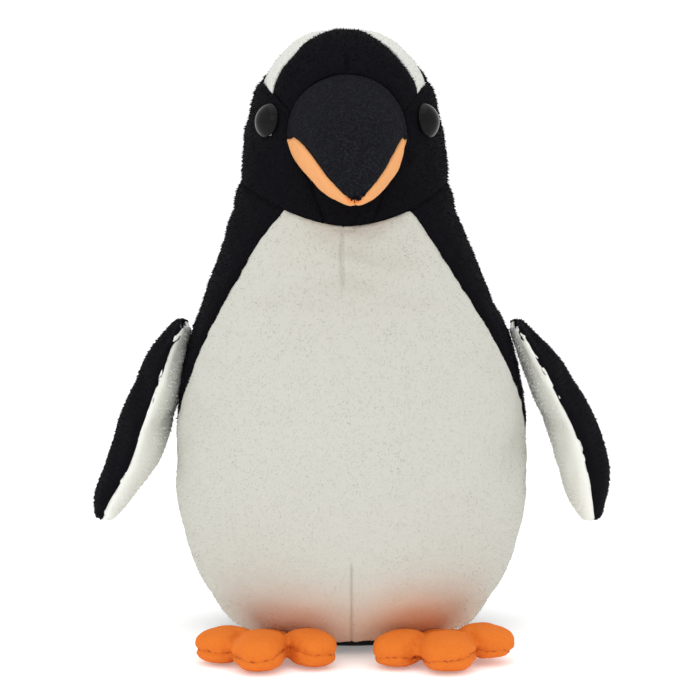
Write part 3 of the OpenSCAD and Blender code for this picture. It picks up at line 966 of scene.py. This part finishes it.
# Three toes and the ankle end: how far out and forward of the foot's middle, half width, half length,
# half height, lift. Their sides are a little squarer than an egg's.
squareness = 2.7
toes = {
    1: ((-0.0180, -0.0040, 0.0098, 0.0125, 0.0070, 0.0), (0.0015, -0.0100, 0.0124, 0.0140, 0.0072, 0.0),
        (0.0180, 0.0030, 0.0104, 0.0125, 0.0066, 0.0018), (0.0010, 0.0080, 0.0115, 0.0110, 0.0048, 0.0012)),
    -1: ((-0.0178, -0.0045, 0.0098, 0.0125, 0.0072, 0.0), (0.0030, -0.0100, 0.0114, 0.0145, 0.0075, 0.0),
         (0.0180, 0.0025, 0.0108, 0.0128, 0.0070, 0.0), (0.0010, 0.0080, 0.0115, 0.0110, 0.0048, 0.0012)),
}
for side, sign in (("left", 1), ("right", -1)):
    form = bmesh.new()
    rim = []
    for out, forward, wide, long, tall, lift in toes[sign]:
        made = bmesh.ops.create_uvsphere(form, u_segments=64, v_segments=24, radius=1)["verts"]
        turn = Matrix.Rotation(sign * math.atan2(out, 0.03), 4, "Z")
        out, wide, tall = out * 0.93, wide * 0.93, tall * 0.92
        place = Matrix.Translation((sign * (foot_out + out), forward + foot_ahead, tall + lift + 0.0003))
        for vertex in made:
            power = sum(abs(c) ** squareness for c in vertex.co)
            vertex.co *= power ** (-1 / squareness)
            if abs(vertex.co.z) < 0.01:
                rim.append(place @ turn @ Vector((vertex.co.x * wide, vertex.co.y * long, 0)))
        bmesh.ops.transform(form, matrix=place @ turn @ Matrix.Diagonal((wide, long, tall, 1)), verts=made)
    name = "foot_stuffing_" + side
    foot_form = stuffed(name, form, voxel=0.0012, seams=tree_of(rim), swell=3.0, most=0.0012, evening=1)
    whole = bmesh.new()
    whole.from_mesh(foot_form.data)
    whole.normal_update()
    moves = []
    for vertex in whole.verts:
        gap = (vertex.co.z - seam_height - wobble(vertex.co)) / 0.0011
        ridge = noise.noise(Vector((vertex.co.x * 380, vertex.co.y * 380, sign * 2.0)))
        fold = 0.0010 * math.exp(-gap * gap) + 0.0005 * ridge * math.exp(-gap * gap / 16)
        moves.append(vertex.normal * (0.0003 * noise.noise(vertex.co * 120) - fold))
    for vertex, move in zip(whole.verts, moves):
        vertex.co += move
        ahead = ease((-0.052 - vertex.co.y) / 0.006)
        for out in pinches:
            off = (sign * vertex.co.x - foot_out - out) / 0.0019
            high = (vertex.co.z - seam_height) / 0.0042
            pull = math.exp(-off * off) * ahead
            vertex.co.y += 0.0030 * pull * math.exp(-high * high)
            vertex.co.z = seam_height + (vertex.co.z - seam_height) * (1 - 0.13 * pull)
        vertex.co.z = max(vertex.co.z, 0.0002)
    body = "foot_" + side
    finish_stuffing(name, sink_inwards(foot_form, 0.0055), body, "foot_filling_" + side, evening=6)
    for part, keep_above in (("upper", True), ("sole", False)):
        half = whole.copy()
        for vertex in half.verts:
            vertex.co.z -= wobble(vertex.co)
        bmesh.ops.bisect_plane(
            half, geom=[*half.verts, *half.edges, *half.faces], dist=1e-6, plane_co=(0, 0, seam_height),
            plane_no=(0, 0, 1), clear_inner=keep_above, clear_outer=not keep_above,
        )
        for vertex in half.verts:
            vertex.co.z += wobble(vertex.co)
        if keep_above:
            edge = [v.co.copy() for v in half.verts if v.is_boundary]
        cloth = shell(f"foot_{part}_{side}_fleece", half, orange_fleece, 0.0009)
        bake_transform(cloth)
        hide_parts(f"foot_{part}_{side}")
    whole.free()
    stitches = bmesh.new()
    draw = random.Random(7 + sign)
    last = None
    for point in sorted(edge, key=lambda p: math.atan2(p.y - foot_ahead, p.x - sign * foot_out)):
        if last is not None and (point - last).length < 0.0023:
            continue
        if last is not None and (point - last).length < 0.006:
            way = (point - last).normalized()
            made = bmesh.ops.create_icosphere(stitches, subdivisions=2, radius=1)["verts"]
            way.z += draw.uniform(-0.5, 0.5)
            turn = way.to_track_quat("X", "Z").to_matrix().to_4x4()
            place = Matrix.Translation((point + last) / 2 + Vector((0, 0, draw.uniform(-0.0003, 0.0003))))
            size = Matrix.Diagonal((0.0011, 0.00022, 0.00022, 1))
            bmesh.ops.transform(stitches, matrix=place @ turn @ size, verts=made)
        last = point
    sewing = add_piece("foot_stitches_" + side, stitches, thread)
    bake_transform(sewing)

# ---- Tail ----
# A short flat wedge of black plush, two faces sewn round their edge and lightly stuffed. Its root is set into
# the back seam near the base.
tail_faces = ("tail_upper", "tail_under")
for node in tail_faces:
    panel_core[node] = Vector((0, 0.07, 0.0135))
tail_form = stuffed(
    "tail_stuffing", cad_copy(*tail_faces, "tail_filling"),
    voxel=0.0024, seams=seams_of(*tail_faces), swell=5.0, most=0.002,
)
surface = surface_of(tail_form)
sunk = sink_inwards(tail_form, 0.0026)
finish_stuffing("tail_stuffing", sunk, "tail", "tail_filling", evening=25, gather=0.85)
sheets = {node: even_sheet(node, 0.0013, surface, 0.003) for node in tail_faces}
join_edges(sheets, 0.0024)
for number, (node, form) in enumerate(sheets.items()):
    sew(form, valley=0.0026, depth=0.0008, lumps=0.0006, pucker=0.0005, seed=60 + number)
    tufts = pile(node + "_pile", form, black_hair, 0.0013, 0.0014, Vector((0, 1, -0.4)), 60 + number)
    cloth = shell(node + "_plush", form, black_plush, 0.0012)
    for piece in (tufts, cloth):
        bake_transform(piece)
    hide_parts(node)

# ---- Lean ----
# The stuffed body isn't quite upright: from the waist up it settles a few millimetres to its right, with its
# face turned back a little. Both flippers hang with a slight bow to the other side, the feet stand a little
# off the middle, and the tail's root is pushed into the body.
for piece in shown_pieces():
    if "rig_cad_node" in piece:
        continue
    eye = piece.name in ("eye_dome_right", "eye_rim_right", "eye_lock_right")
    for vertex in piece.data.vertices:
        place = vertex.co
        shift = -0.0029 * ease((place.z - 0.09) / 0.10)
        shift += 0.0040 * ease((-0.0067 - place.y) / 0.0708) * ease((place.z - 0.16) / 0.02)
        if eye:
            shift += 0.0018
            place.y -= 0.0020
        if "flipper" in piece.name:
            shift += 0.0028 * math.exp(-(((place.z - 0.080) / 0.022) ** 2))
            if place.x < 0:
                bow = 0.0018 * math.exp(-(((place.z - 0.105) / 0.014) ** 2))
                shift += bow - 0.0032 * ease((0.072 - place.z) / 0.02)
        if piece.name.startswith("foot_"):
            shift += 0.0014
        if piece.name.startswith("tail_") and piece.name != "tail_stuffing":
            place.y -= 0.0070 * (1 - ease((place.y - 0.056) / 0.024))
        place.x += shift
